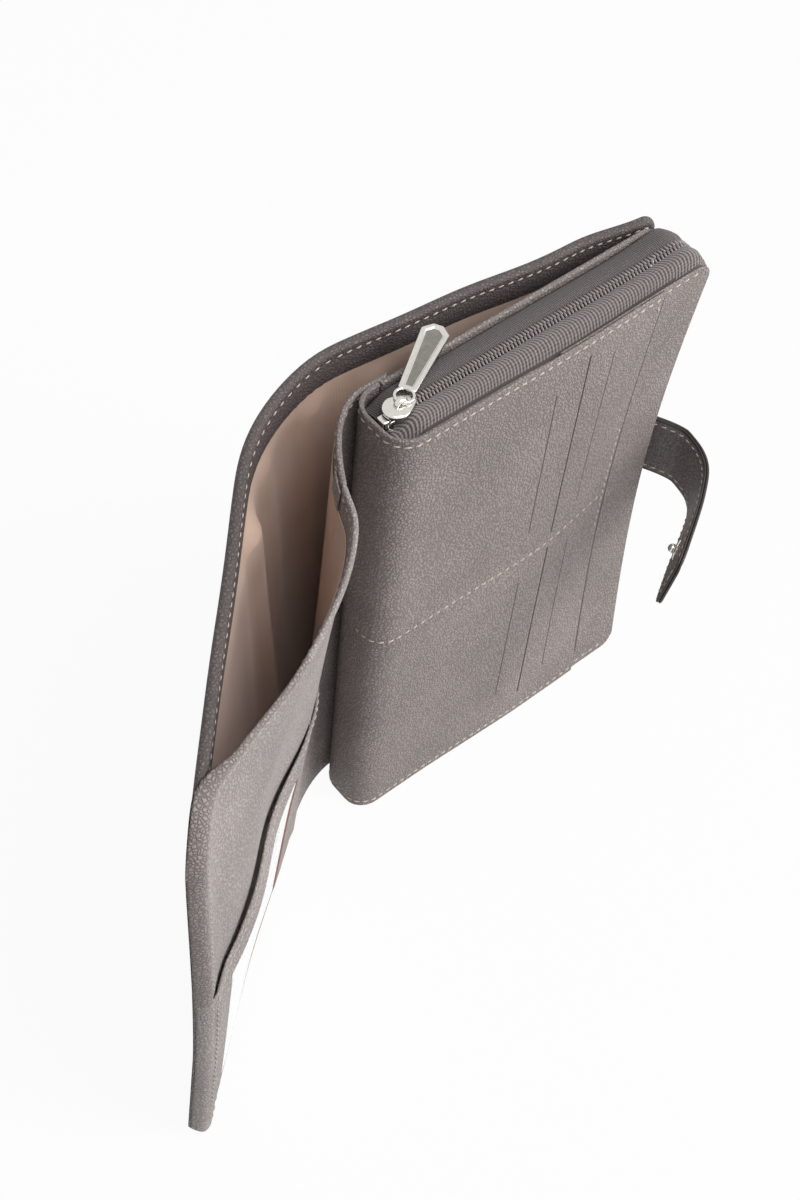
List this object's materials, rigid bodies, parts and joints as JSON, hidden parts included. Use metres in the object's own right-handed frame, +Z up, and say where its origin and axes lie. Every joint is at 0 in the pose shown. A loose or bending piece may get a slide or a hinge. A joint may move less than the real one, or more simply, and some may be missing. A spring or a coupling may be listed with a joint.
{
  "type": "travel wallet",
  "caption": "Leather travel wallet standing open on its long edge: zip-round block with card slots, wrap-round cover flap with note and ID pockets, and a strap with a ball snap.",
  "frame": {"origin": "middle of the footprint, on the plane the wallet stands on", "axes": "+X along the front of the zip block towards its zip side, +Y from the front of the block to the cover behind it, +Z up along the long edge"},
  "size_m": [0.2432, 0.0986, 0.1943],
  "materials": {
    "leather": "fine pebble grain, soft satin",
    "lining": "smooth woven, matt",
    "tape": "herringbone weave, matt",
    "coil": "satin nylon",
    "nickel": "polished nickel plate",
    "film": "clear, glossy"
  },
  "bodies": {
    "case": {"cover_back": "leather", "cover_lining_back": "lining", "cover_spine": "leather", "cover_lining_spine": "lining", "spine_strip": "leather", "spine_strip_lining": "lining", "front_panel": "leather", "card_layer_2": "leather", "card_layer_3": "leather", "card_layer_4": "leather", "front_wrap": "leather", "back_leaf": "leather", "compartment_lining_front": "lining", "compartment_lining_back": "lining", "zip_tape_front": "tape", "zip_tape_back": "tape", "zip_coil_front": "coil", "zip_coil_back": "coil", "zip_stop_top": "nickel", "zip_stop_bottom": "nickel", "strap_tail": "leather"},
    "flap": {"cover_flap": "leather", "cover_lining_flap": "lining", "flap_panel": "leather", "flap_panel_lining": "lining", "id_pocket": "leather", "id_window": "film", "snap_socket": "nickel", "socket_eyelet": "nickel"},
    "strap": {"strap_tab": "leather", "strap_tab_lining": "leather", "snap_stud": "nickel", "stud_cap": "nickel"},
    "slider": {"slider_body": "nickel", "slider_bridge": "nickel"},
    "puller": {"puller": "nickel"}
  },
  "joints": [
    {"name": "fold", "type": "hinge", "parent": "case", "child": "flap", "pos_m": [-0.01551, 0.01717, 0], "axis": [0, 0, 1], "range_deg": [-35, 143], "deforming": ["cover_spine", "cover_lining_spine", "spine_strip", "spine_strip_lining", "flap_panel", "flap_panel_lining", "id_pocket", "id_window", "strap_tab", "strap_tab_lining", "snap_stud", "stud_cap"]},
    {"name": "strap_bend", "type": "hinge", "parent": "case", "child": "strap", "pos_m": [0.12079, 0.01027, 0.0945], "axis": [0, 0, 1], "range_deg": [-20, 95]},
    {"name": "zip_slide", "type": "slide", "parent": "case", "child": "slider", "axis": [1, 0, 0], "range_m": [0, 0.088]},
    {"name": "puller_swing", "type": "hinge", "parent": "slider", "child": "puller", "pos_m": [0.00049, 0.02047, 0.1923], "axis": [0.5, -0.866, 0], "range_deg": [0, 150]}
  ]
}
